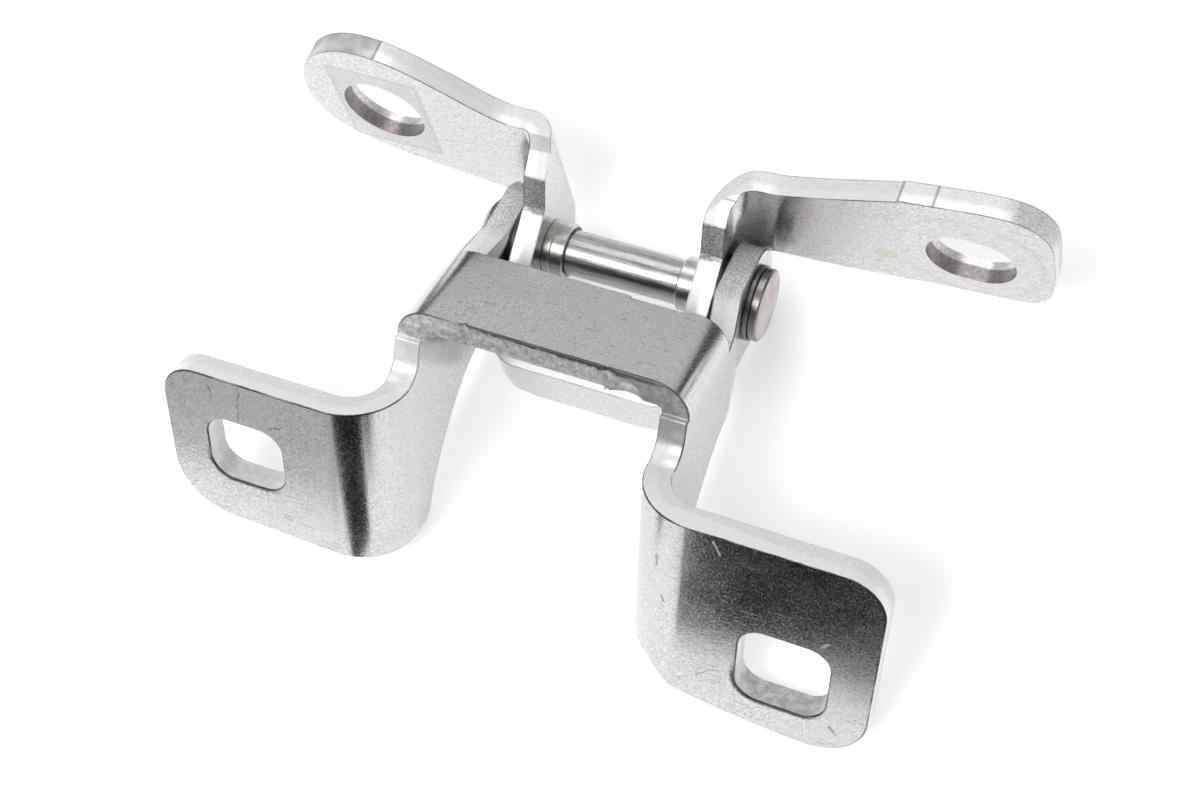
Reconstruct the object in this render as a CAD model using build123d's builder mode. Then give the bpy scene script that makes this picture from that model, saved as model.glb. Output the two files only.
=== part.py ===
from build123d import *
import os

os.makedirs("parts", exist_ok=True)

# ------------------------------------------------------------------ sizes, mm
# Each bracket is drawn in its own frame with the hinge axis along X.  The
# finished pieces are then set down together the way the hinge lies at rest.
OPEN_DEG = 25.5              # angle between the two pairs of flanges at rest
TILT_X = -32.4               # the hinge lies on a front flange and on its rear ears
AXIS_AT = (-4.555, 25.679, 11.03)   # middle of the hinge axis in the resting frame

# front bracket: outer channel, flanges at its front
F_T = 4.8                    # sheet thickness
F_OUT = 26.3                 # outer face of a wall at the web
F_EAR_OUT = 24.3             # outer face of an ear at the pin
F_FACE = -54.1               # front face of the flanges
F_BEND = 10.8                # outer radius of a flange bend
F_WEB_TOP = 10.0
F_WEB_FRONT = -37.8
F_WEB_REAR = -18.8
F_WEB_BEND = 6.0             # outer radius of a web bend
F_HOLE_L = (-48.4, -18.7, 14.6, 13.7)   # middle x, z, width, height
F_HOLE_R = (50.5, -29.3, 15.7, 16.2)
F_HOLE_CORNER = 4.2

# rear bracket: inner channel, flanges at its back
R_T = 4.2
R_OUT = 18.9                 # outer face of a wall
R_FACE = 10.1                # front face of the flanges
R_WEB = -24.0                # front face of the web
R_WEB_BEND = 6.0
R_FLANGE_BEND_L = 5.4        # outer radius of each flange bend
R_FLANGE_BEND_R = 8.4
R_RELIEF = 9.95              # relief in the right bend for the end of the front ear
R_HOLE = (-49.2, 15.2, 7.9)  # round hole: x, z, radius
R_SLOT = (59.8, 16.2, 1.5, 6.2)  # slot: x, z, half of its straight, radius

# pin group
PIN_R = 4.15
RUN = 0.04                   # running clearance of the pin in a bush
BUSH_R = 5.2
BUSH_FLANGE_R = 7.2
BUSH_FLANGE_T = 0.5
HEAD_R = 6.6
HEAD_FACE = 26.9
WASHER_R = 6.9
WASHER_T = 0.8
GROOVE = 0.2                 # shallow groove behind the head
SIDE_GAP = 0.06              # play between a washer and what it slides on
RING_R = 5.1
SPACER_END = -13.2           # joint between the spacer and the lock ring
COLLAR_R = 4.95
BREAK = 0.35                 # broken edge of the turned pieces

LYING = Location(AXIS_AT) * Location((0, 0, 0), (TILT_X, 0, 0))
LYING_REAR = LYING * Location((0, 0, 0), (OPEN_DEG, 0, 0))

# ------------------------------------------------------------- front bracket
f_wall = F_OUT - F_T / 2
f_ear = F_EAR_OUT - F_T / 2
f_mid = F_FACE + F_T / 2

with BuildPart() as front_bracket:
    # flange, bend, wall and ear of each side as one bent strip in plan
    with BuildSketch(Plane.XY.offset(-50)):
        for s in (-1, 1):
            with BuildLine():
                FilletPolyline(
                    (s * 80, f_mid), (s * f_wall, f_mid), (s * f_wall, -16.6), (s * f_ear, -7.5), (s * f_ear, 16),
                    radius=[F_BEND - F_T / 2, 7, 7],
                )
            trace(line_width=F_T)
    extrude(amount=70)
    # side outline of the walls and the ears
    with BuildSketch(Plane.YZ.offset(-90)):
        with BuildLine():
            top = Polyline((-60, -60), (-60, -2.5), (-43.4, -2.5))
            arc = ThreePointArc((-43.4, -2.5), (-40.5, -1.3), (-39.2, 1.6))
            face = Polyline((-39.2, 1.6), (-38.7, 4.0), (-18.8, 4.0), (-17.6, 5.0), (1.2, 9.1))
            crown = ThreePointArc((1.2, 9.1), (4.6, 8.5), (7.0, 6.7))
            nose = ThreePointArc((7.0, 6.7), (8.6, -4.5), (0.0, -9.7))
            lower = Spline((0.0, -9.7), (-10.5, -10.9), (-20.0, -13.7), (-25.0, -17.0), (-31.2, -23.5), (-35.6, -29.7), (-37.3, -33.6),
                           tangents=((-1, 0), (-0.36, -1)))
            heel = Polyline((-37.3, -33.6), (-38.0, -35.4), (-40.3, -37.4), (-40.3, -60), (-60, -60))
        make_face()
    extrude(amount=180, mode=Mode.INTERSECT)
    # front outline of the flanges
    with BuildSketch(Plane.XZ.offset(-20)):
        with BuildLine():
            FilletPolyline(
                (-30, 16), (-30, -2.5), (-63.6, -2.5), (-63.6, -35.2), (-52, -35.6), (-33.7, -36.3), (-20, -37.2),
                (26.6, -37.3), (31.2, -41.4), (41.5, -43.2), (53.0, -44.35), (65.7, -44.35), (65.7, -2.5), (30, -2.5), (30, 16),
                radius=[0, 0, 7.0, 11.0, 0, 8.0, 0, 0.8, 5.0, 0, 0, 9.6, 7.5, 0, 0],
                close=True,
            )
        make_face()
    extrude(amount=80, mode=Mode.INTERSECT)
    # web across the top with its two bends
    with BuildSketch(Plane.XZ.offset(-F_WEB_REAR)):
        with BuildLine():
            FilletPolyline(
                (-f_wall, 3.9), (-f_wall, F_WEB_TOP - F_T / 2), (f_wall, F_WEB_TOP - F_T / 2), (f_wall, 3.9),
                radius=F_WEB_BEND - F_T / 2,
            )
        trace(line_width=F_T)
    extrude(amount=F_WEB_REAR - F_WEB_FRONT)
    # nicks in the front edge of the web and the hollow beside the right one
    with BuildSketch(Plane.XY.offset(F_WEB_TOP - 7)):
        for x, r in ((-13.7, 0.75), (11.8, 0.6)):
            with Locations((x, F_WEB_FRONT - 0.25)):
                Circle(r)
    extrude(amount=8, mode=Mode.SUBTRACT)
    with Locations((15.3, F_WEB_FRONT - 4.0, F_WEB_TOP - F_T + 0.3)):
        Sphere(5.0, mode=Mode.SUBTRACT)
    # torn lower edge of the web's front, and the shallow step in its rear edge
    with BuildSketch(Plane.YZ.offset(-19.5)):
        with BuildLine():
            low = F_WEB_TOP - F_T
            Polyline(
                (F_WEB_FRONT - 1, low - 1), (F_WEB_FRONT - 1, low + 1.5), (F_WEB_FRONT, low + 1.2),
                (F_WEB_FRONT + 0.5, low + 0.3), (F_WEB_FRONT + 1.5, low), (F_WEB_FRONT + 1.5, low - 1), (F_WEB_FRONT - 1, low - 1),
            )
        make_face()
    extrude(amount=31, mode=Mode.SUBTRACT)
    with BuildSketch(Plane.XY.offset(F_WEB_TOP - 6)):
        with BuildLine():
            Polyline((7.4, -17), (8.6, -19.3), (19.0, -19.4), (20.3, -17), (7.4, -17))
        make_face()
    extrude(amount=8, mode=Mode.SUBTRACT)
    # bolt holes, rounded squares
    for x, z, w, h in (F_HOLE_L, F_HOLE_R):
        with BuildSketch(Plane.XZ.offset(40)):
            with Locations((x, z)):
                RectangleRounded(w, h, F_HOLE_CORNER)
        extrude(amount=20, mode=Mode.SUBTRACT)
    # bores for the bushes
    with BuildSketch(Plane.YZ.offset(-40)):
        Circle(BUSH_R)
    extrude(amount=80, mode=Mode.SUBTRACT)

# -------------------------------------------------------------- rear bracket
r_wall = R_OUT - R_T / 2
r_web = R_WEB + R_T / 2
r_mid = R_FACE + R_T / 2

with BuildPart() as rear_bracket:
    # flanges, walls and web as one bent strip in plan
    with BuildSketch(Plane.XY.offset(-20)):
        with BuildLine():
            FilletPolyline(
                (-85, r_mid), (-r_wall, r_mid), (-r_wall, r_web), (r_wall, r_web), (r_wall, r_mid), (85, r_mid),
                radius=[R_FLANGE_BEND_L - R_T / 2, R_WEB_BEND - R_T / 2, R_WEB_BEND - R_T / 2, R_FLANGE_BEND_R - R_T / 2],
            )
        trace(line_width=R_T)
    extrude(amount=60)
    # side outline of the walls
    with BuildSketch(Plane.YZ.offset(-90)):
        with BuildLine():
            FilletPolyline(
                (-30, -12.6), (-30, -1.4), (-24, -1.4), (-8.25, 5.7), (1.6, 10.3), (4.2, 15.7), (8.4, 18.9), (10.1, 22.0), (10.1, 40),
                (20, 40), (20, -4.4), (10.0, -4.4), (7.4, -8.9), (0, -10.9), (-14, -12.6),
                radius=[0, 0, 0, 0, 1.2, 1.5, 2.0, 0, 0, 0, 0, 1.5, 4.0, 0, 0],
                close=True,
            )
        make_face()
    extrude(amount=180, mode=Mode.INTERSECT)
    # front outline of the flanges
    with BuildSketch(Plane.XZ.offset(-20)):
        with BuildLine():
            Polyline((0, 21.5), (-20.0, 21.5))
            Spline(
                (-20.0, 21.5), (-24.6, 21.8), (-29.5, 23.9), (-34.9, 27.0), (-39.3, 29.3), (-43.4, 31.1), (-48.0, 32.2), (-52.3, 32.2),
                (-56.2, 30.9), (-59.9, 28.3), (-62.4, 25.2), (-64.1, 20.8), (-64.7, 16.2), (-64.1, 12.0), (-62.4, 8.4),
                (-59.2, 5.4), (-54.3, 3.2), (-48.2, 1.4), (-41.7, 0.1), (-35.2, -0.8), (-27.5, -2.2),
            )
            Polyline((-27.5, -2.2), (-18.5, -4.2), (-15, -16), (15, -16), (18.5, -4.2), (21.2, -1.0), (24.6, 1.3))
            Spline(
                (24.6, 1.3), (29.5, 1.8), (36.8, 2.4), (44.1, 3.4), (51.3, 4.6), (58.3, 5.6), (63.8, 6.1), (68.6, 6.7),
                (71.6, 7.8), (73.3, 10.0), (73.8, 13.5), (73.7, 18.5), (73.2, 23.2), (72.3, 27.2), (70.2, 30.0), (66.8, 31.6),
                (62.6, 31.8), (58.3, 31.3), (54.9, 30.7), (51.0, 30.0), (47.5, 29.4),
            )
            Polyline((47.5, 29.4), (46.9, 28.9))
            Spline(
                (46.9, 28.9), (43.1, 27.4), (36.4, 24.7), (30.4, 22.5), (26.4, 21.3), (23.2, 20.9), (21.0, 20.6), (19.2, 19.9),
                (17.6, 19.0), (16.2, 18.0), (14.6, 16.7),
            )
            Polyline((14.6, 16.7), (0, 16.7), (0, 21.5))
        make_face()
    extrude(amount=60, mode=Mode.INTERSECT)
    # rounded lower corners of the web
    with BuildSketch(Plane.XZ.offset(16)):
        for s in (-1, 1):
            with BuildLine():
                Polyline((s * 10.5, -20), (s * 10.5, -12.4), (s * 14.8, -11.5), (s * 17.6, -9.0), (s * 20, -5.0), (s * 22, -20), (s * 10.5, -20))
            make_face()
    extrude(amount=12, mode=Mode.SUBTRACT)
    # round hole, slot, and the bores that hold the pin
    x, z, r = R_HOLE
    with BuildSketch(Plane.XZ.offset(-20)):
        with Locations((x, z)):
            Circle(r)
    extrude(amount=15, mode=Mode.SUBTRACT)
    x, z, half, r = R_SLOT
    with BuildSketch(Plane.XZ.offset(-20)):
        with Locations((x, z)):
            SlotCenterToCenter(2 * half, 2 * r)
    extrude(amount=15, mode=Mode.SUBTRACT)
    with BuildSketch(Plane.YZ.offset(-40)):
        Circle(PIN_R)
    extrude(amount=80, mode=Mode.SUBTRACT)
    # relief in the right bend, round the hinge axis
    with BuildSketch(Plane.YZ.offset(R_OUT)):
        Circle(R_RELIEF)
    extrude(amount=8, mode=Mode.SUBTRACT)

# ----------------------------------------------------------------- pin group
with BuildPart() as hinge_pin:
    # shaft, flat head on the right, riveted tail on the left
    with BuildSketch(Plane.XY):
        with BuildLine():
            head_in = F_EAR_OUT + WASHER_T + SIDE_GAP
            Polyline(
                (-HEAD_FACE + BREAK, 0), (-HEAD_FACE, 0), (-HEAD_FACE, HEAD_R - 1.6), (-HEAD_FACE + 0.9, HEAD_R - 0.5),
                (-head_in, HEAD_R - 0.3), (-head_in, PIN_R), (head_in, PIN_R), (head_in, HEAD_R - 0.6), (head_in + GROOVE, HEAD_R - 0.6),
                (head_in + GROOVE, HEAD_R - 0.1), (head_in + GROOVE + 0.1, HEAD_R),
                (HEAD_FACE - BREAK, HEAD_R), (HEAD_FACE, HEAD_R - BREAK), (HEAD_FACE, 0), (-HEAD_FACE + BREAK, 0),
            )
        make_face()
    revolve(axis=Axis.X)


def ring(inner, outer, x0, x1, broken):
    """Closed profile of a turned ring between x0 and x1."""
    return [
        (x0, inner), (x0, outer - broken), (x0 + broken, outer), (x1 - broken, outer), (x1, outer - broken), (x1, inner), (x0, inner),
    ]


with BuildPart() as left_lock_ring:
    with BuildSketch(Plane.XY):
        with BuildLine():
            Polyline(
                (SPACER_END, PIN_R), (SPACER_END, RING_R - 0.15), (SPACER_END + 0.15, RING_R), (-10.75, RING_R), (-10.6, RING_R - 0.15),
                (-10.6, 4.65), (-11.3, 4.65), (-11.3, PIN_R), (SPACER_END, PIN_R),
            )
        make_face()
    revolve(axis=Axis.X)

with BuildPart() as left_spacer:
    with BuildSketch(Plane.XY):
        with BuildLine():
            Polyline(*ring(PIN_R, RING_R, -R_OUT + R_T, SPACER_END, 0.15))
        make_face()
    revolve(axis=Axis.X)

with BuildPart() as right_collar:
    with BuildSketch(Plane.XY):
        with BuildLine():
            Polyline(*ring(PIN_R, COLLAR_R, 11.0, 14.7, 0.25))
        make_face()
    revolve(axis=Axis.X)

f_in = F_EAR_OUT - F_T


def bush_profile(s):
    """Flanged bush in an ear, flange on the inner side of the ear."""
    return [
        (s * f_in, BUSH_R), (s * f_in, BUSH_FLANGE_R), (s * (f_in - BUSH_FLANGE_T), BUSH_FLANGE_R),
        (s * (f_in - BUSH_FLANGE_T), PIN_R + RUN), (s * F_EAR_OUT, PIN_R + RUN), (s * F_EAR_OUT, BUSH_R), (s * f_in, BUSH_R),
    ]


with BuildPart() as left_bush:
    with BuildSketch(Plane.XY):
        with BuildLine():
            Polyline(*bush_profile(-1))
        make_face()
    revolve(axis=Axis.X)

with BuildPart() as right_bush:
    with BuildSketch(Plane.XY):
        with BuildLine():
            Polyline(*bush_profile(1))
        make_face()
    revolve(axis=Axis.X)

with BuildPart() as head_washer:
    with BuildSketch(Plane.XY):
        with BuildLine():
            Polyline(*ring(PIN_R, WASHER_R, F_EAR_OUT + SIDE_GAP, F_EAR_OUT + SIDE_GAP + WASHER_T, 0.1))
        make_face()
    revolve(axis=Axis.X)

with BuildPart() as tail_washer:
    with BuildSketch(Plane.XY):
        with BuildLine():
            Polyline(*ring(PIN_R, WASHER_R, -F_EAR_OUT - SIDE_GAP - WASHER_T, -F_EAR_OUT - SIDE_GAP, 0.1))
        make_face()
    revolve(axis=Axis.X)

# ------------------------------------------------------- placing and writing
fixed = {"front_bracket": front_bracket, "left_bush": left_bush, "right_bush": right_bush}
moving = {
    "rear_bracket": rear_bracket, "hinge_pin": hinge_pin, "left_lock_ring": left_lock_ring, "left_spacer": left_spacer,
    "right_collar": right_collar, "head_washer": head_washer, "tail_washer": tail_washer,
}
for group, place in ((fixed, LYING), (moving, LYING_REAR)):
    for name, piece in group.items():
        piece.part.move(place)
        piece.part.label = name
        export_step(piece.part, "parts/" + name + ".step")
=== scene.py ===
import bpy
import bmesh
import math
from mathutils import Matrix, Vector


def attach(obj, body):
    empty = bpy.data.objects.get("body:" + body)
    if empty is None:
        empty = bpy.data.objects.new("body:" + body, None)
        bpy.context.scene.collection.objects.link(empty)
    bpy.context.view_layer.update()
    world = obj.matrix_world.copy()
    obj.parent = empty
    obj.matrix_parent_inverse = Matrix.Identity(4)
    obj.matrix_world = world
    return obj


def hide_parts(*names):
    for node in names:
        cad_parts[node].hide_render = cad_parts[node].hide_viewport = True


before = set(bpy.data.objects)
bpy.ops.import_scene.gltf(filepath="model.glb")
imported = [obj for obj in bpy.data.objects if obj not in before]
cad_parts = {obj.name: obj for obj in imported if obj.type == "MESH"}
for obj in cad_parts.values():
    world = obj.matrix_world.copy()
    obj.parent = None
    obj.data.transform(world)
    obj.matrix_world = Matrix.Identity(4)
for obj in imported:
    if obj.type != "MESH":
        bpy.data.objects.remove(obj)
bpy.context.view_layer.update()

# ---------------------------------------------------------------- local frame
# The brackets are described in their own frame: X along the pin, Y from the
# front flanges to the pin, Z up the front flanges, origin on the pin axis.
TILT = math.radians(32.4)
OPEN = math.radians(25.5)
AXIS = Vector((-0.004555, 0.025679, 0.01103))
TO_ROW = Matrix.Translation(AXIS) @ Matrix.Rotation(-TILT, 4, "X")
TO_ROW_REAR = TO_ROW @ Matrix.Rotation(OPEN, 4, "X")


# ------------------------------------------------------------------ materials
class Mat:
    """Small helper that lays shader nodes out one after another."""

    def __init__(self, name):
        self.mat = bpy.data.materials.new(name)
        self.mat.use_nodes = True
        self.nt = self.mat.node_tree
        self.nt.nodes.clear()
        self.out = self.nt.nodes.new("ShaderNodeOutputMaterial")
        self.bsdf = self.nt.nodes.new("ShaderNodeBsdfPrincipled")
        self.nt.links.new(self.bsdf.outputs[0], self.out.inputs[0])
        self.coord = self.nt.nodes.new("ShaderNodeTexCoord")

    def node(self, kind, **props):
        n = self.nt.nodes.new(kind)
        for k, v in props.items():
            setattr(n, k, v)
        return n

    def link(self, a, b):
        self.nt.links.new(a, b)

    def mapping(self, scale=(1, 1, 1), rot=(0, 0, 0), loc=(0, 0, 0), source=None):
        n = self.node("ShaderNodeMapping")
        n.inputs["Scale"].default_value = scale
        n.inputs["Rotation"].default_value = rot
        n.inputs["Location"].default_value = loc
        self.link(source or self.coord.outputs["Object"], n.inputs["Vector"])
        return n.outputs[0]

    def noise(self, vec, scale, detail=3.0, rough=0.5, distort=0.0):
        n = self.node("ShaderNodeTexNoise")
        n.inputs["Scale"].default_value = scale
        n.inputs["Detail"].default_value = detail
        n.inputs["Roughness"].default_value = rough
        n.inputs["Distortion"].default_value = distort
        self.link(vec, n.inputs["Vector"])
        return n.outputs["Fac"]

    def ramp(self, fac, stops, interp="LINEAR"):
        n = self.node("ShaderNodeValToRGB")
        n.color_ramp.interpolation = interp
        e = n.color_ramp.elements
        while len(e) < len(stops):
            e.new(0.5)
        for i, (pos, col) in enumerate(stops):
            e[i].position = pos
            e[i].color = (col, col, col, 1) if isinstance(col, (int, float)) else (*col, 1)
        self.link(fac, n.inputs[0])
        return n.outputs[0]

    def math(self, op, a, b=None, clamp=False):
        n = self.node("ShaderNodeMath", operation=op, use_clamp=clamp)
        for i, v in enumerate((a, b)):
            if v is None:
                continue
            if isinstance(v, (int, float)):
                n.inputs[i].default_value = v
            else:
                self.link(v, n.inputs[i])
        return n.outputs[0]

    def mix(self, fac, a, b, blend="MIX"):
        n = self.node("ShaderNodeMix", data_type="RGBA", blend_type=blend)
        for key, v in ((0, fac), (6, a), (7, b)):
            if isinstance(v, (int, float)):
                n.inputs[key].default_value = v if key == 0 else (v, v, v, 1)
            elif isinstance(v, tuple):
                n.inputs[key].default_value = (*v, 1)
            else:
                self.link(v, n.inputs[key])
        return n.outputs[2]

    def bump(self, height, strength, distance, normal=None):
        n = self.node("ShaderNodeBump")
        n.inputs["Strength"].default_value = strength
        n.inputs["Distance"].default_value = distance
        self.link(height, n.inputs["Height"])
        if normal is not None:
            self.link(normal, n.inputs["Normal"])
        return n.outputs[0]


def local_mm(m, rear):
    """The piece's own coordinates in millimetres: X along the pin, Y and Z as its flanges stand."""
    sub = m.node("ShaderNodeVectorMath", operation="SUBTRACT")
    m.link(m.coord.outputs["Object"], sub.inputs[0])
    sub.inputs[1].default_value = tuple(AXIS)
    turn = m.node("ShaderNodeVectorRotate", rotation_type="X_AXIS")
    m.link(sub.outputs[0], turn.inputs["Vector"])
    turn.inputs["Angle"].default_value = TILT - (OPEN if rear else 0.0)
    mul = m.node("ShaderNodeVectorMath", operation="SCALE")
    m.link(turn.outputs[0], mul.inputs[0])
    mul.inputs["Scale"].default_value = 1000.0
    return mul.outputs[0]


def scratches(m, vec, length, angle, width, amount, seed):
    """Thin straight marks a few millimetres long, in a few directions."""
    v = m.mapping(scale=(1.0 / length, 1.0 / width, 1.0 / width), rot=angle, loc=(seed, seed * 1.7, seed * 0.6), source=vec)
    vor = m.node("ShaderNodeTexVoronoi", feature="F1")
    vor.inputs["Scale"].default_value = 1.0
    m.link(v, vor.inputs["Vector"])
    line = m.ramp(vor.outputs["Distance"], [(0.16, 1.0), (0.34, 0.0)])
    pick = m.node("ShaderNodeSeparateColor")
    m.link(vor.outputs["Color"], pick.inputs[0])
    keep = m.ramp(pick.outputs[0], [(1.0 - amount - 0.01, 0.0), (1.0 - amount, 1.0)])
    return m.math("MULTIPLY", line, keep)


def between(m, value, low, high, soft):
    """1 between two values, 0 outside, with soft ends."""
    a = m.math("ADD", m.math("MULTIPLY", m.math("SUBTRACT", value, low), 1.0 / soft), 0.5, clamp=True)
    b = m.math("ADD", m.math("MULTIPLY", m.math("SUBTRACT", high, value), 1.0 / soft), 0.5, clamp=True)
    return m.math("MULTIPLY", a, b)


def box_mask(m, xyz, x0, x1, z0, z1, soft=0.4):
    """1 inside a box in the plane of the flanges, with soft sides."""
    out = None
    for value, low, high in ((xyz[0], x0, x1), (xyz[2], z0, z1)):
        for edge, sign in ((low, 1), (high, -1)):
            d = m.math("MULTIPLY", m.math("SUBTRACT", value, edge), sign / soft)
            d = m.math("ADD", d, 0.5, clamp=True)
            out = d if out is None else m.math("MULTIPLY", out, d)
    return out


def stroke(m, xyz, x0, z0, x1, z1, w):
    """1 along a straight mark from one point to another in the plane of the flanges, 0 away from it."""
    dx, dz = x1 - x0, z1 - z0
    px = m.math("SUBTRACT", xyz[0], x0)
    pz = m.math("SUBTRACT", xyz[2], z0)
    t = m.math("ADD", m.math("MULTIPLY", px, dx), m.math("MULTIPLY", pz, dz))
    t = m.math("MULTIPLY", t, 1.0 / (dx * dx + dz * dz), clamp=True)
    ex = m.math("SUBTRACT", px, m.math("MULTIPLY", t, dx))
    ez = m.math("SUBTRACT", pz, m.math("MULTIPLY", t, dz))
    d = m.math("SQRT", m.math("ADD", m.math("MULTIPLY", ex, ex), m.math("MULTIPLY", ez, ez)))
    return m.math("MULTIPLY", m.math("SUBTRACT", w, d), 2.2 / w, clamp=True)


def rim_painted_shade(m, xyz, hole, noise):
    """Painted shade: dark crescent on the face along the lower outer rim of a rounded-square hole, standing in for the
    rolled rim reflecting dark.
    """
    x, z, w, h = hole
    r = 4.2
    px = m.math("SUBTRACT", xyz[0], x)
    pz = m.math("SUBTRACT", xyz[2], z)
    qx = m.math("MAXIMUM", m.math("SUBTRACT", m.math("ABSOLUTE", px), w / 2 - r), 0.0)
    qz = m.math("MAXIMUM", m.math("SUBTRACT", m.math("ABSOLUTE", pz), h / 2 - r), 0.0)
    d = m.math("SUBTRACT", m.math("SQRT", m.math("ADD", m.math("MULTIPLY", qx, qx), m.math("MULTIPLY", qz, qz))), r)
    d = m.math("ADD", d, m.math("MULTIPLY", m.math("SUBTRACT", noise, 0.5), 1.1))
    near = m.ramp(d, [(0.55, 1.0), (1.25, 0.0)])
    side = m.math("ADD", m.math("MULTIPLY", px, -0.35), m.math("MULTIPLY", pz, -0.94))
    side = m.ramp(m.math("MULTIPLY", side, 0.1), [(0.33, 0.0), (0.62, 1.0)])
    return m.math("MULTIPLY", near, side)


def zinc(name, rear, tint=(0.74, 0.74, 0.735), rough=0.165):
    m = Mat(name)
    b = m.bsdf
    loc = local_mm(m, rear)
    sep = m.node("ShaderNodeSeparateXYZ")
    m.link(loc, sep.inputs[0])
    xyz = sep.outputs
    uv = m.node("ShaderNodeUVMap", uv_map="shear")
    sh = m.node("ShaderNodeSeparateXYZ")
    m.link(uv.outputs[0], sh.inputs[0])
    edge, depth = sh.outputs[0], sh.outputs[1]

    grain = m.mapping(scale=(0.55, 1.0, 1.0), rot=(0.0, 0.5, 0.0), source=loc)
    fine = m.noise(grain, 5.0, 2.0, 0.6)
    mid = m.noise(loc, 1.5, 4.0, 0.65)
    broad = m.noise(loc, 0.16, 3.0, 0.5)
    cloud = m.noise(loc, 0.055, 2.0, 0.5)
    # dark pinholes and pits
    vor = m.node("ShaderNodeTexVoronoi", feature="F1")
    vor.inputs["Scale"].default_value = 1.9
    m.link(loc, vor.inputs["Vector"])
    pit = m.ramp(vor.outputs["Distance"], [(0.05, 1.0), (0.20, 0.0)])
    pick = m.node("ShaderNodeSeparateColor")
    m.link(vor.outputs["Color"], pick.inputs[0])
    pit = m.math("MULTIPLY", pit, m.ramp(m.math("ADD", pick.outputs[0], m.math("MULTIPLY", broad, 0.5)), [(0.93, 0.0), (1.03, 1.0)]))
    scr = None
    for i, (length, ang, width, amount) in enumerate((
        (6.0, (0.2, 0.35, 0.1), 0.30, 0.022), (4.0, (0.1, 1.15, 0.2), 0.34, 0.030), (8.0, (0.0, -0.7, 0.3), 0.26, 0.012),
        (1.6, (0.4, 2.2, 0.1), 0.42, 0.050),
    )):
        one = scratches(m, loc, length, ang, width, amount, 3.1 * i + (20 if rear else 0))
        scr = one if scr is None else m.math("MAXIMUM", scr, one)
    face = m.math("SUBTRACT", 1.0, edge)

    col = m.mix(m.ramp(mid, [(0.32, 0.0), (0.62, 1.0)]), tuple(c * 0.78 for c in tint), tint)
    col = m.mix(m.ramp(fine, [(0.30, 0.75), (0.55, 0.0)]), col, tuple(c * 0.52 for c in tint))
    col = m.mix(m.ramp(fine, [(0.55, 0.0), (0.72, 0.7)]), col, (0.90, 0.90, 0.89))
    grit = m.noise(loc, 2.3, 2.0, 0.5)
    col = m.mix(m.ramp(grit, [(0.68, 0.0), (0.73, 0.65)]), col, (0.18, 0.18, 0.175))
    col = m.mix(m.ramp(cloud, [(0.42, 0.0), (0.62, 0.45)]), col, tuple(c * 0.88 for c in tint))
    col = m.mix(m.math("MULTIPLY", m.math("MULTIPLY", pit, face), 0.85), col, (0.07, 0.07, 0.068))
    col = m.mix(m.math("MULTIPLY", m.math("MULTIPLY", scr, face), 0.55), col, (0.20, 0.20, 0.195))

    rgh = m.math("ADD", m.math("MULTIPLY", fine, 0.12), rough - 0.10)
    grains = m.ramp(m.noise(loc, 2.9, 5.0, 0.8), [(0.44, 0.0), (0.70, 1.0)])
    rgh = m.math("ADD", rgh, m.math("MULTIPLY", grains, 0.175))
    rgh = m.math("ADD", rgh, m.math("MULTIPLY", m.ramp(cloud, [(0.35, 0.0), (0.65, 1.0)]), 0.07))
    rgh = m.math("ADD", rgh, m.math("MULTIPLY", pit, 0.25))

    # sheared edges: a burnished band by the front face, then torn grain
    streak = m.noise(m.mapping(scale=(1.0, 1.0, 1.0), source=loc), 2.6, 4.0, 0.7)
    torn = m.ramp(m.math("ADD", depth, m.math("MULTIPLY", m.noise(loc, 0.35, 3.0), 0.35)), [(0.50, 0.0), (0.72, 1.0)])
    ecol = m.mix(m.ramp(streak, [(0.36, 0.0), (0.62, 1.0)]), (0.74, 0.74, 0.73), (0.90, 0.90, 0.89))
    scol = m.mix(m.ramp(fine, [(0.34, 0.0), (0.60, 1.0)]), (0.86, 0.86, 0.85), (0.98, 0.98, 0.97))
    ecol = m.mix(torn, scol, ecol)
    # ragged dark lines: at the front border of the cut, painted shade of the rolled-over edge, and, fainter, where the
    # fracture begins and ends
    rag = m.math("MULTIPLY", m.math("SUBTRACT", m.noise(loc, 1.3, 4.0, 0.7), 0.5), 0.04)
    deep = m.math("ADD", depth, rag)
    heavy = m.ramp(m.noise(loc, 0.22, 2.0), [(0.35, 0.45), (0.60, 1.0)])
    line = m.math("MULTIPLY", m.ramp(deep, [(0.030, 1.0), (0.055, 0.0)] if rear else [(0.028, 1.0), (0.048, 0.0)]), heavy)
    back = m.math("MULTIPLY", m.ramp(deep, [(0.93, 0.0), (0.97, 0.45)]), heavy)
    line = m.math("MAXIMUM", line, back)
    ecol = m.mix(line, ecol, (0.07, 0.07, 0.068))
    flecks = m.ramp(m.noise(loc, 3.2, 4.0, 0.75), [(0.42, 0.0), (0.58, 1.0)])
    if rear:
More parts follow.
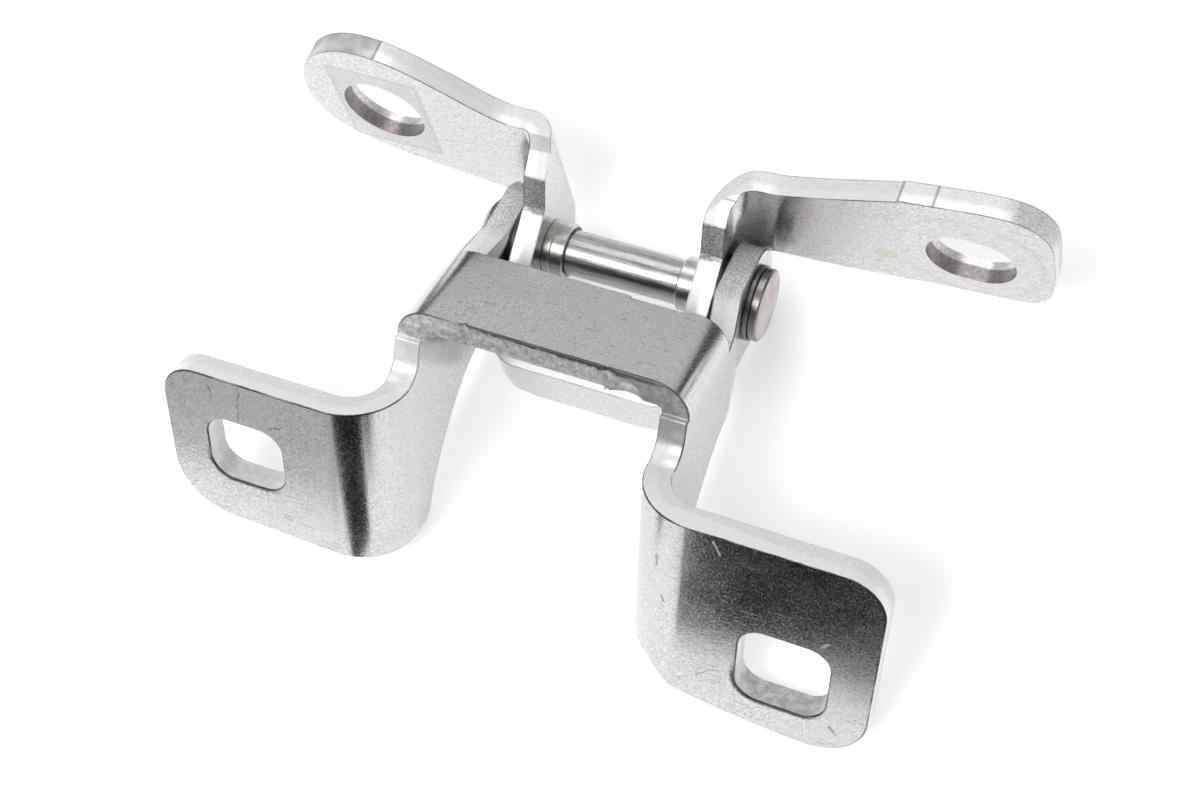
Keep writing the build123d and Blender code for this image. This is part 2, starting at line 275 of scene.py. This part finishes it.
        # scraped steps where the walls rise to the flanges, and the duller ends of the flanges' top edges
        ecol = m.mix(m.math("MULTIPLY", between(m, xyz[1], -30.0, -15.0, 2.0), 0.75), ecol, (0.34, 0.34, 0.335))
        worn = m.math("MULTIPLY", between(m, xyz[1], 0.6, 4.5, 0.5), between(m, xyz[2], 9.6, 16.0, 0.6))
        ecol = m.mix(m.math("MULTIPLY", worn, m.math("ADD", m.math("MULTIPLY", flecks, 0.45), 0.50)), ecol, (0.10, 0.10, 0.098))
        ends = m.math("MULTIPLY", between(m, xyz[0], -70.0, -46.8, 0.4), between(m, xyz[2], 21.0, 40.0, 5.0))
        far = m.math("MULTIPLY", between(m, xyz[0], 65.0, 76.0, 3.0), between(m, xyz[2], 25.0, 34.0, 3.0))
        ends = m.math("MULTIPLY", m.math("MAXIMUM", ends, m.math("MULTIPLY", far, flecks)), m.ramp(m.noise(loc, 0.30, 3.0), [(0.30, 0.35), (0.62, 1.0)]))
        ecol = m.mix(m.math("MULTIPLY", ends, 0.72), ecol, (0.26, 0.26, 0.255))
        for x0, z0, x1, z1 in ((-46.9, 28.0, -46.9, 34.0), (47.2, 26.0, 47.2, 32.0), (53.0, 28.0, 53.0, 33.0)):
            ecol = m.mix(m.math("MULTIPLY", stroke(m, xyz, x0, z0, x1, z1, 0.28), 0.55), ecol, (0.10, 0.10, 0.098))
    else:
        # torn front edge of the web, and speckled ends of the ears
        web = m.math("MULTIPLY", between(m, xyz[1], -41.0, -36.4, 0.3), between(m, xyz[2], 4.2, 12.0, 0.6))
        web = m.math("MULTIPLY", web, m.ramp(m.noise(loc, 0.9, 4.0, 0.7), [(0.36, 0.15), (0.60, 1.0)]))
        ecol = m.mix(m.math("MULTIPLY", web, 0.72), ecol, (0.24, 0.24, 0.235))
        for x0, x1, z0, z1, much in ((43.2, 57.8, -38.6, -34.6, 0.62), (-55.0, -42.0, -26.6, -23.4, 0.30)):
            sill = m.math("MULTIPLY", between(m, xyz[0], x0, x1, 1.0), between(m, xyz[2], z0, z1, 0.8))
            sill = m.math("MULTIPLY", sill, m.ramp(m.noise(loc, 0.7, 4.0, 0.7), [(0.35, 0.35), (0.60, 1.0)]))
            ecol = m.mix(m.math("MULTIPLY", sill, much), ecol, (0.22, 0.22, 0.215))
        ear = m.math("MULTIPLY", between(m, xyz[1], -9.0, 11.0, 3.0), between(m, xyz[2], 4.6, 12.0, 2.0))
        ear = m.math("MULTIPLY", ear, flecks)
        ecol = m.mix(m.math("MULTIPLY", ear, 0.62), ecol, (0.20, 0.20, 0.195))
    # painted shade: a thin, darker line along the front border of the rolled-over edges
    rolled = m.ramp(edge, [(0.004, 0.0), (0.015, 1.0)])
    rolled_border_shade = m.math("MULTIPLY", m.math("MULTIPLY", m.ramp(deep, [(0.010, 1.0), (0.026, 0.0)] if rear else [(0.026, 1.0), (0.046, 0.0)]), heavy), rolled)
    col = m.mix(edge, col, ecol)
    col = m.mix(m.math("MULTIPLY", rolled_border_shade, 0.88), col, (0.05, 0.05, 0.049))
    if not rear:
        # painted shade: a black line along the top of the web's front edge, heavier toward the right, and painted
        # shade on the front edge of the bend beyond it
        height = m.math("ADD", xyz[2], m.math("MULTIPLY", m.math("SUBTRACT", m.noise(loc, 0.55, 4.0, 0.7), 0.5), 1.6))
        height = m.math("ADD", height, m.math("MULTIPLY", xyz[0], 0.018))
        painted_lip_shade = m.math("MULTIPLY", between(m, height, 9.35, 13.0, 0.35), between(m, xyz[1], -41.0, -37.35, 0.15))
        painted_lip_shade = m.math("MULTIPLY", painted_lip_shade, between(m, xyz[0], -14.0, 21.0, 3.0))
        col = m.mix(m.math("MULTIPLY", painted_lip_shade, 0.9), col, (0.045, 0.045, 0.044))
        painted_bend_shade = m.math("MULTIPLY", between(m, xyz[0], 13.5, 27.0, 1.5), between(m, xyz[1], -41.0, -37.3, 0.2))
        painted_bend_shade = m.math("MULTIPLY", m.math("MULTIPLY", painted_bend_shade, between(m, xyz[2], -1.0, 11.0, 2.0)), edge)
        col = m.mix(m.math("MULTIPLY", painted_bend_shade, 0.55), col, (0.16, 0.16, 0.157))
    ergh = m.math("ADD", m.math("MULTIPLY", torn, 0.16), 0.34)
    rgh = m.math("ADD", m.math("MULTIPLY", rgh, face), m.math("MULTIPLY", ergh, edge))
    ub = m.node("ShaderNodeUVMap", uv_map="bore")
    sb = m.node("ShaderNodeSeparateXYZ")
    m.link(ub.outputs[0], sb.inputs[0])
    bore = m.ramp(sb.outputs[0], [(0.45, 0.0), (0.55, 1.0)])
    bdark = m.mix(m.ramp(mid, [(0.38, 0.0), (0.62, 1.0)]), (0.23, 0.205, 0.21), (0.36, 0.325, 0.33))
    bpale = m.mix(m.ramp(mid, [(0.38, 0.0), (0.62, 1.0)]), (0.62, 0.58, 0.57), (0.86, 0.85, 0.84))
    bcol = m.mix(m.ramp(m.math("ADD", depth, m.math("MULTIPLY", rag, 0.6)), [(0.60, 0.0), (0.68, 1.0)]), bdark, bpale)
    col = m.mix(bore, col, bcol)
    rgh = m.math("ADD", m.math("MULTIPLY", rgh, m.math("SUBTRACT", 1.0, bore)), m.math("MULTIPLY", bore, 0.34))
    dull = m.math("MULTIPLY", m.math("MULTIPLY", edge, 0.66), m.math("SUBTRACT", 1.0, m.math("MULTIPLY", bore, 0.7)))
    # pale unburnished grains in the coating
    dull = m.math("ADD", dull, m.math("MULTIPLY", m.ramp(m.noise(loc, 2.6, 4.0, 0.8), [(0.50, 0.0), (0.68, 0.12)]), face))
    m.link(m.math("SUBTRACT", 1.0, dull, clamp=True), b.inputs["Metallic"])

    if not rear:
        on_face = m.math("MULTIPLY", m.math("LESS_THAN", xyz[1], -52.0), face)
        sway = m.math("MULTIPLY", m.math("SUBTRACT", m.noise(loc, 0.8, 3.0), 0.5), 1.3)
        bent = (m.math("ADD", xyz[0], sway), xyz[1], m.math("SUBTRACT", xyz[2], sway))
        marks = None
        for seg in (
            (-43.2, -11.0, -40.3, -9.2, 0.22), (-54.2, -4.8, -53.7, -7.2, 0.22), (-48.3, -3.4, -49.1, -10.7, 0.16), (-42.1, -31.4, -40.7, -31.6, 0.20),
            (-42.0, -17.9, -39.8, -18.9, 0.15), (36.3, -36.4, 37.6, -34.4, 0.18), (37.6, -34.4, 39.6, -33.3, 0.18),
            (59.6, -38.0, 60.9, -39.4, 0.35), (27.6, -12.0, 27.5, -14.4, 0.30), (28.9, -20.4, 29.4, -21.3, 0.35), (-59.9, -3.2, -59.0, -2.6, 0.85),
        ):
            one = stroke(m, bent, *seg)
            marks = one if marks is None else m.math("MAXIMUM", marks, one)
        marks = m.math("MULTIPLY", marks, m.ramp(m.noise(loc, 2.2, 3.0), [(0.36, 0.05), (0.56, 0.75)]))
        # the dark crescents along the lower outer rims of the two holes are painted shade, joined to the real marks
        for hole in ((-48.4, -18.7, 14.6, 13.7), (50.5, -29.3, 15.7, 16.2)):
            marks = m.math("MAXIMUM", marks, rim_painted_shade(m, xyz, hole, m.noise(loc, 1.7, 3.0)))
        col = m.mix(m.math("MULTIPLY", m.math("MULTIPLY", marks, on_face), 0.88), col, (0.04, 0.04, 0.039))
        pale = None
        for seg in ((36.8, -3.6, 38.3, -6.3, 0.24), (56.4, -19.7, 57.4, -18.6, 0.30)):
            one = stroke(m, bent, *seg)
            pale = one if pale is None else m.math("MAXIMUM", pale, one)
        pale = m.math("MULTIPLY", pale, on_face)
        col = m.mix(m.math("MULTIPLY", pale, 0.8), col, (0.85, 0.85, 0.84))
        rgh = m.math("ADD", rgh, m.math("MULTIPLY", pale, 0.35))
    if rear:
        # washer print round the left hole: a ground square, duller than the sheet around it
        front_face = m.math("MULTIPLY", face, m.math("LESS_THAN", xyz[1], 12.0))
        print_mask = box_mask(m, xyz, -58.0, -40.2, 4.6, 26.2, 0.5)
        print_mask = m.math("MULTIPLY", m.math("MULTIPLY", print_mask, front_face), m.ramp(broad, [(0.25, 0.55), (0.6, 1.0)]))
        col = m.mix(m.math("MULTIPLY", print_mask, 0.55), col, (0.50, 0.50, 0.48))
        rgh = m.math("ADD", rgh, m.math("MULTIPLY", print_mask, 0.10))
        rim = m.math("SUBTRACT", box_mask(m, xyz, -58.4, -39.8, 4.2, 26.6, 0.4), box_mask(m, xyz, -57.7, -40.5, 4.9, 25.9, 0.4))
        rim = m.math("MULTIPLY", m.math("MULTIPLY", rim, front_face), m.ramp(mid, [(0.35, 0.1), (0.6, 1.0)]))
        col = m.mix(m.math("MULTIPLY", rim, 0.45), col, (0.30, 0.30, 0.285))
        # oval washer print round the slot
        sx = m.math("ABSOLUTE", m.math("SUBTRACT", xyz[0], 59.8))
        sx = m.math("MAXIMUM", m.math("SUBTRACT", sx, 1.5), 0.0)
        sz = m.math("SUBTRACT", xyz[2], 17.0)
        ring_r = m.math("SQRT", m.math("ADD", m.math("MULTIPLY", sx, sx), m.math("MULTIPLY", sz, sz)))
        ring = m.ramp(m.math("ABSOLUTE", m.math("SUBTRACT", ring_r, 10.8)), [(0.2, 1.0), (0.8, 0.0)])
        ring = m.math("MULTIPLY", m.math("MULTIPLY", ring, front_face), m.ramp(broad, [(0.40, 0.1), (0.60, 1.0)]))
        col = m.mix(m.math("MULTIPLY", ring, 0.35), col, (0.38, 0.38, 0.37))
        # small yellowish passivation stain on the right flange
        dx = m.math("MULTIPLY", m.math("SUBTRACT", xyz[0], 45.1), 0.40)
        dz = m.math("MULTIPLY", m.math("SUBTRACT", xyz[2], 11.2), 0.62)
        rad = m.math("SQRT", m.math("ADD", m.math("MULTIPLY", dx, dx), m.math("MULTIPLY", dz, dz)))
        rad = m.math("ADD", rad, m.math("MULTIPLY", m.math("SUBTRACT", broad, 0.5), 0.9))
        spot = m.math("MULTIPLY", m.ramp(rad, [(0.80, 1.0), (1.0, 0.0)]), front_face)
        col = m.mix(m.math("MULTIPLY", spot, 0.7), col, (0.56, 0.56, 0.42))
    m.link(col, b.inputs["Base Color"])
    m.link(m.math("ADD", rgh, 0.0, clamp=True), b.inputs["Roughness"])

    h = m.math("ADD", m.math("MULTIPLY", fine, 0.30), m.math("MULTIPLY", mid, 0.50))
    h = m.math("SUBTRACT", h, m.math("MULTIPLY", m.math("MULTIPLY", pit, face), 0.6))
    h = m.math("SUBTRACT", h, m.math("MULTIPLY", m.math("MULTIPLY", scr, face), 0.35))
    h = m.math("ADD", h, m.math("MULTIPLY", m.math("MULTIPLY", streak, m.math("MULTIPLY", torn, edge)), 0.9))
    n = m.bump(h, 0.40, 0.00006)
    wave = m.bump(broad, 0.10, 0.0002, None)
    m.link(wave, n.node.inputs["Normal"])
    m.link(n, b.inputs["Normal"])
    return m.mat


def turned(name, tint, rough=0.3):
    m = Mat(name)
    b = m.bsdf
    b.inputs["Metallic"].default_value = 1.0
    loc = local_mm(m, False)
    lines = m.noise(m.mapping(scale=(6.0, 0.12, 0.12), source=loc), 1.0, 3.0, 0.6)
    mid = m.noise(loc, 0.9, 4.0, 0.6)
    spots = m.noise(loc, 3.2, 3.0, 0.6)
    col = m.mix(m.ramp(mid, [(0.35, 0.0), (0.65, 1.0)]), tuple(c * 0.80 for c in tint), tint)
    col = m.mix(m.ramp(spots, [(0.60, 0.0), (0.70, 0.5)]), col, tuple(c * 0.45 for c in tint))
    m.link(col, b.inputs["Base Color"])
    r = m.math("ADD", m.math("MULTIPLY", lines, 0.16), rough - 0.08)
    r = m.math("ADD", r, m.math("MULTIPLY", mid, 0.06), clamp=True)
    m.link(r, b.inputs["Roughness"])
    n = m.bump(m.math("ADD", m.math("MULTIPLY", lines, 0.6), m.math("MULTIPLY", spots, 0.5)), 0.25, 0.00008)
    m.link(n, b.inputs["Normal"])
    return m.mat


def pin_steel(name):
    """Bright drawn shaft with streaks along it and a speckled, slightly pinkish end face on the head."""
    m = Mat(name)
    b = m.bsdf
    b.inputs["Metallic"].default_value = 1.0
    loc = local_mm(m, False)
    sep = m.node("ShaderNodeSeparateXYZ")
    m.link(loc, sep.inputs[0])
    streak = m.noise(m.mapping(scale=(0.16, 2.6, 2.6), source=loc), 1.0, 4.0, 0.65)
    mid = m.noise(loc, 0.8, 4.0, 0.6)
    spots = m.noise(loc, 3.4, 3.0, 0.6)
    broad = m.noise(loc, 0.22, 2.0, 0.5)
    end = m.ramp(m.math("SUBTRACT", sep.outputs[0], 26.0), [(0.80, 0.0), (0.86, 1.0)])
    head = m.ramp(m.math("SUBTRACT", sep.outputs[0], 24.0), [(0.10, 0.0), (0.20, 1.0)])
    col = m.mix(m.ramp(streak, [(0.35, 0.0), (0.62, 1.0)]), (0.36, 0.355, 0.345), (0.64, 0.63, 0.61))
    col = m.mix(m.ramp(spots, [(0.56, 0.0), (0.68, 0.6)]), col, (0.18, 0.175, 0.17))
    col = m.mix(m.math("MULTIPLY", head, 0.6), col, (0.16, 0.155, 0.15))
    face = m.mix(m.ramp(mid, [(0.40, 0.0), (0.60, 1.0)]), (0.62, 0.52, 0.50), (0.60, 0.585, 0.57))
    face = m.mix(m.ramp(spots, [(0.50, 0.0), (0.66, 0.5)]), face, (0.34, 0.32, 0.31))
    face = m.mix(m.ramp(broad, [(0.45, 0.0), (0.60, 0.6)]), face, (0.72, 0.72, 0.70))
    col = m.mix(end, col, face)
    m.link(col, b.inputs["Base Color"])
    r = m.math("ADD", m.math("MULTIPLY", streak, 0.22), 0.20)
    r = m.math("ADD", r, m.math("MULTIPLY", end, 0.20))
    r = m.math("ADD", r, m.math("MULTIPLY", mid, 0.08), clamp=True)
    m.link(r, b.inputs["Roughness"])
    n = m.bump(m.math("ADD", m.math("MULTIPLY", streak, 0.6), m.math("MULTIPLY", spots, 0.6)), 0.30, 0.00008)
    m.link(n, b.inputs["Normal"])
    return m.mat


ZINC_FRONT = zinc("zinc_sheet", False)
ZINC_REAR = zinc("zinc_sheet_rear", True)
PIN = pin_steel("pin_steel")
RING = turned("ring_steel", (0.66, 0.65, 0.62), 0.28)
BRONZE = turned("bush_bronze", (0.42, 0.38, 0.33), 0.42)
WASHER = turned("washer_steel", (0.30, 0.30, 0.29), 0.36)


# --------------------------------------------------------------------- pieces
def sheet_of_front(p):
    """(sheet normal, depth 0..1 from the front or upper face) of the front bracket at p, in mm."""
    x, y, z = p
    s = 1.0 if x > 0 else -1.0
    if z > 3.0 and -38.6 < y < -18.0 and (z > 4.0 or abs(x) < 20.4):
        if abs(x) < 20.3:
            return Vector((0, 0, 1)), (10.0 - z) / 4.8
        d = Vector((x - s * 20.3, 0, z - 4.0))
        if z > 4.0 and d.length > 0.5:
            return d.normalized(), (6.0 - d.length) / 4.8
    if y < -43.3:
        if abs(x) > 32.3:
            return Vector((0, 1, 0)), (y + 54.1) / 4.8
        d = Vector((x - s * 32.3, y + 43.3, 0))
        if d.length > 0.5:
            return d.normalized(), (10.8 - d.length) / 4.8
    lean = 0.0 if y < -17.0 else (0.22 if y < -8.0 else 0.0)
    n = Vector((1, lean * s, 0)).normalized()
    out = 26.3 if y < -17.0 else (26.3 - 0.22 * (y + 17.0) if y < -8.0 else 24.3)
    return n, (out - abs(x)) / 4.8


def sheet_of_rear(p):
    x, y, z = p
    s = 1.0 if x > 0 else -1.0
    if y < -18.0:
        if abs(x) < 12.9:
            return Vector((0, 1, 0)), (y + 24.0) / 4.2
        d = Vector((x - s * 12.9, y + 18.0, 0))
        return d.normalized(), (6.0 - d.length) / 4.2
    cx, cy, r = (23.1, 5.9, 4.2) if x > 0 else (20.1, 8.9, 1.2)
    if y > cy:
        if abs(x) > cx:
            return Vector((0, 1, 0)), (y - 10.1) / 4.2
        d = Vector((x - s * cx, y - cy, 0))
        if d.length > 0.3:
            return d.normalized(), (d.length - r) / 4.2
    return Vector((1, 0, 0)), (18.9 - abs(x)) / 4.2


def mark_sheared(mesh, to_local, sheet_of, bores=()):
    """Writes, for each corner of each face, whether it is a sheared edge and how deep in the sheet it lies."""
    for layer in ("shear", "bore"):
        if mesh.uv_layers.get(layer) is None:
            mesh.uv_layers.new(name=layer)
    uv, uw = mesh.uv_layers["shear"], mesh.uv_layers["bore"]
    rot = to_local.to_3x3()
    pts = [to_local @ v.co * 1000.0 for v in mesh.vertices]
    for poly in mesh.polygons:
        mid = to_local @ poly.center * 1000.0
        n, _ = sheet_of(mid)
        k = abs((rot @ poly.normal).normalized().dot(n))
        edge = 0.0 if k > 0.985 else 0.02 + 0.98 * min(1.0, max(0.0, (0.92 - k) / 0.15))
        bored = 1.0 if bores and k < 0.85 and any(
            math.hypot(max(0.0, abs(mid.x - bx) - half), mid.z - bz) < br + 0.35 and mid.y > 9.0 for bx, bz, half, br in bores) else 0.0
        for li in poly.loop_indices:
            _, depth = sheet_of(pts[mesh.loops[li].vertex_index])
            uv.data[li].uv = (edge, min(1.0, max(0.0, depth)))
            uw.data[li].uv = (bored, 0.0)


def rounded_copy(node, width, merge, segments, mat, body, to_local, sheet_of, bores=()):
    """The node's own shape, with its sheared edges rolled over where a width is given."""
    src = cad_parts[node]
    mesh = src.data.copy()
    mesh.name = node + "_rounded"
    mesh.materials.clear()
    ob = bpy.data.objects.new(node + "_rounded", mesh)
    ob.matrix_world = src.matrix_world.copy()
    bpy.context.scene.collection.objects.link(ob)
    bm = bmesh.new()
    bm.from_mesh(mesh)
    bmesh.ops.remove_doubles(bm, verts=bm.verts, dist=2e-6)
    if width:
        bmesh.ops.dissolve_limit(bm, angle_limit=math.radians(0.6), verts=bm.verts, edges=bm.edges)
    if merge:
        bmesh.ops.remove_doubles(bm, verts=bm.verts, dist=merge)
        bmesh.ops.dissolve_limit(bm, angle_limit=math.radians(0.6), verts=bm.verts, edges=bm.edges)
    broad = {f: f.calc_area() / max(e.calc_length() for e in f.edges) > 0.0016 for f in bm.faces}
    for e in bm.edges:
        if len(e.link_faces) != 2:
            continue
        turn = e.calc_face_angle(0.0)
        if (turn > math.radians(1.0) and all(broad[f] for f in e.link_faces)) if width else turn > math.radians(30.0):
            e.smooth = False
    bm.to_mesh(mesh)
    bm.free()
    if width:
        bev = ob.modifiers.new("edge", "BEVEL")
        bev.width = width
        bev.segments = segments
        bev.limit_method = "ANGLE"
        bev.angle_limit = math.radians(38)
        bev.use_clamp_overlap = False
    deps = bpy.context.evaluated_depsgraph_get()
    done = bpy.data.meshes.new_from_object(ob.evaluated_get(deps))
    ob.modifiers.clear()
    ob.data = done
    for p in done.polygons:
        p.use_smooth = True
    done.materials.clear()
    done.materials.append(mat)
    mark_sheared(done, to_local, sheet_of, bores)
    smooth = ob.modifiers.new("normals", "WEIGHTED_NORMAL")
    smooth.keep_sharp = True
    smooth.weight = 80
    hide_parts(node)
    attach(ob, body)
    return ob


front = rounded_copy("front_bracket", 0.0003, 0.0003, 3, ZINC_FRONT, "front", TO_ROW.inverted(), sheet_of_front)
rear = rounded_copy("rear_bracket", 0.0, 0.0, 3, ZINC_REAR, "rear", TO_ROW_REAR.inverted(), sheet_of_rear,
                    ((-49.2, 15.2, 0.0, 7.9), (59.8, 16.2, 1.5, 6.2)))

for node, mat in (
    ("hinge_pin", PIN), ("left_lock_ring", RING), ("right_collar", RING), ("left_spacer", RING),
    ("left_bush", BRONZE), ("right_bush", BRONZE), ("head_washer", WASHER), ("tail_washer", WASHER),
):
    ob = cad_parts[node]
    for i in range(len(ob.material_slots)):
        ob.material_slots[i].material = mat

# ---------------------------------------------------------------------- stage
bpy.ops.mesh.primitive_plane_add(size=6.0, location=(0, 0, 0))
floor = bpy.context.object
floor.name = "floor"
fm = Mat("floor_with_painted_glow")
fn = fm.noise(fm.coord.outputs["Object"], 40.0, 3.0)
fm.link(fm.mix(fn, (0.93, 0.93, 0.93), (0.96, 0.96, 0.96)), fm.bsdf.inputs["Base Color"])
fm.bsdf.inputs["Roughness"].default_value = 0.7
# painted light: the floor glows by itself, strongest by the hinge and fading toward the front, which lifts the shadows
# and stands in for light falling off across the table
fm.bsdf.inputs["Emission Color"].default_value = (1, 1, 1, 1)
fs = fm.node("ShaderNodeSeparateXYZ")
fm.link(fm.coord.outputs["Object"], fs.inputs[0])
glow = fm.math("ADD", fm.math("MULTIPLY", fs.outputs[1], 8.7), 1.74, clamp=True)
fm.link(fm.math("ADD", fm.math("MULTIPLY", glow, 0.34), 0.06), fm.bsdf.inputs["Emission Strength"])
floor.data.materials.append(fm.mat)

world = bpy.data.worlds.new("soft_white")
bpy.context.scene.world = world
world.use_nodes = True
wt = world.node_tree
bg = wt.nodes["Background"]
wc = wt.nodes.new("ShaderNodeTexCoord")
ws = wt.nodes.new("ShaderNodeSeparateXYZ")
wr = wt.nodes.new("ShaderNodeValToRGB")
wt.links.new(wc.outputs["Generated"], ws.inputs[0])
wt.links.new(ws.outputs[2], wr.inputs[0])
for pos, val in ((0.0, 0.32), (0.07, 0.45), (0.16, 0.80), (0.35, 0.60), (0.65, 0.40), (1.0, 0.36)):
    e = wr.color_ramp.elements
    if pos in (0.0, 1.0):
        k = e[0] if pos == 0.0 else e[len(e) - 1]
    else:
        k = e.new(pos)
    k.color = (val, val, val, 1)
# the front of the room, up to about 35 degrees, is dark
wf = wt.nodes.new("ShaderNodeMapRange")
wf.inputs["From Min"].default_value = -0.15
wf.inputs["From Max"].default_value = -0.50
wt.links.new(ws.outputs[1], wf.inputs["Value"])
wh = wt.nodes.new("ShaderNodeMapRange")
wh.inputs["From Min"].default_value = 0.72
wh.inputs["From Max"].default_value = 0.50
wt.links.new(ws.outputs[2], wh.inputs["Value"])
wp = wt.nodes.new("ShaderNodeMath")
wp.operation = "MULTIPLY"
wt.links.new(wf.outputs["Result"], wp.inputs[0])
wt.links.new(wh.outputs["Result"], wp.inputs[1])
wm = wt.nodes.new("ShaderNodeMix")
wm.data_type = "RGBA"
wt.links.new(wp.outputs[0], wm.inputs[0])
wt.links.new(wr.outputs[0], wm.inputs[6])
wm.inputs[7].default_value = (0.05, 0.05, 0.05, 1)
wt.links.new(wm.outputs[2], bg.inputs[0])
bg.inputs[1].default_value = 1.0


def aim(ob, loc, target):
    ob.location = loc
    ob.rotation_euler = (Vector(target) - Vector(loc)).to_track_quat("-Z", "Y").to_euler()


def softbox(name, loc, target, size, energy):
    data = bpy.data.lights.new(name, "AREA")
    data.shape = "RECTANGLE"
    data.size, data.size_y = size
    data.energy = energy
    ob = bpy.data.objects.new(name, data)
    bpy.context.scene.collection.objects.link(ob)
    ob.visible_camera = False
    aim(ob, loc, target)
    return ob


def card(name, corners, shade, glow=0.0):
    """A flat studio card, seen only in reflections."""
    me = bpy.data.meshes.new(name)
    me.from_pydata([Vector(c) / 1000.0 for c in corners], [], [tuple(range(len(corners)))])
    ob = bpy.data.objects.new(name, me)
    bpy.context.scene.collection.objects.link(ob)
    cm = Mat(name)
    cm.bsdf.inputs["Base Color"].default_value = (shade, shade, shade, 1)
    cm.bsdf.inputs["Roughness"].default_value = 1.0
    cm.bsdf.inputs["Specular IOR Level"].default_value = 0.0
    if glow:
        cm.bsdf.inputs["Emission Color"].default_value = (1, 1, 1, 1)
        cm.bsdf.inputs["Emission Strength"].default_value = glow
    me.materials.append(cm.mat)
    ob.visible_camera = False
    ob.visible_shadow = False
    ob.visible_diffuse = False
    return ob


softbox("overhead", (-0.22, -0.40, 0.88), (0, 0, 0.01), (0.46, 0.46), 4.9)
softbox("back_fill", (-0.2, 0.75, 1.0), (0, 0, 0.01), (0.7, 0.5), 2.4)
card("dark_front", [(12, -88, 0.4), (400, -88, 0.4), (460, -108, 330), (4, -108, 330)], 0.002)
card("grey_left", [(-420, -96, 0.4), (-52, -96, 0.4), (-70, -420, 0.4), (-420, -420, 0.4)], 0.05, 0.52)
card("dark_left", [(-33, -60, 2), (-18, -60, 3), (-4, -60, 30), (0, -64, 110), (-46, -64, 110), (-41, -60, 26)], 0.003)
card("dark_back", [(-700, 420, 0.5), (700, 420, 0.5), (700, 420, 26), (-700, 420, 26)], 0.02)
bpy.context.scene.view_settings.view_transform = "Standard"

# --------------------------------------------------------------------- camera
R_CAM = ((0.9202, 0.3908, 0.0219), (0.2759, -0.608, -0.7445), (-0.2776, 0.6911, -0.6673))
T_CAM = (4.748, -23.921, 329.0)
rot = Matrix(R_CAM)
centre = -(rot.transposed() @ Vector(T_CAM)) / 1000.0
right, down, ahead = (Vector(r).normalized() for r in R_CAM)
ahead = right.cross(down).normalized()
down = ahead.cross(right).normalized()
m = Matrix.Identity(4)
for i in range(3):
    m[i][0], m[i][1], m[i][2], m[i][3] = right[i], -down[i], -ahead[i], centre[i]
cam_data = bpy.data.cameras.new("camera")
cam = bpy.data.objects.new("camera", cam_data)
bpy.context.scene.collection.objects.link(cam)
cam.matrix_world = TO_ROW @ m
cam_data.sensor_fit = "HORIZONTAL"
cam_data.sensor_width = 36.0
cam_data.lens = 1830.49 / 1200.0 * 36.0
cam_data.clip_start = 0.01
cam_data.clip_end = 50.0
bpy.context.scene.camera = cam
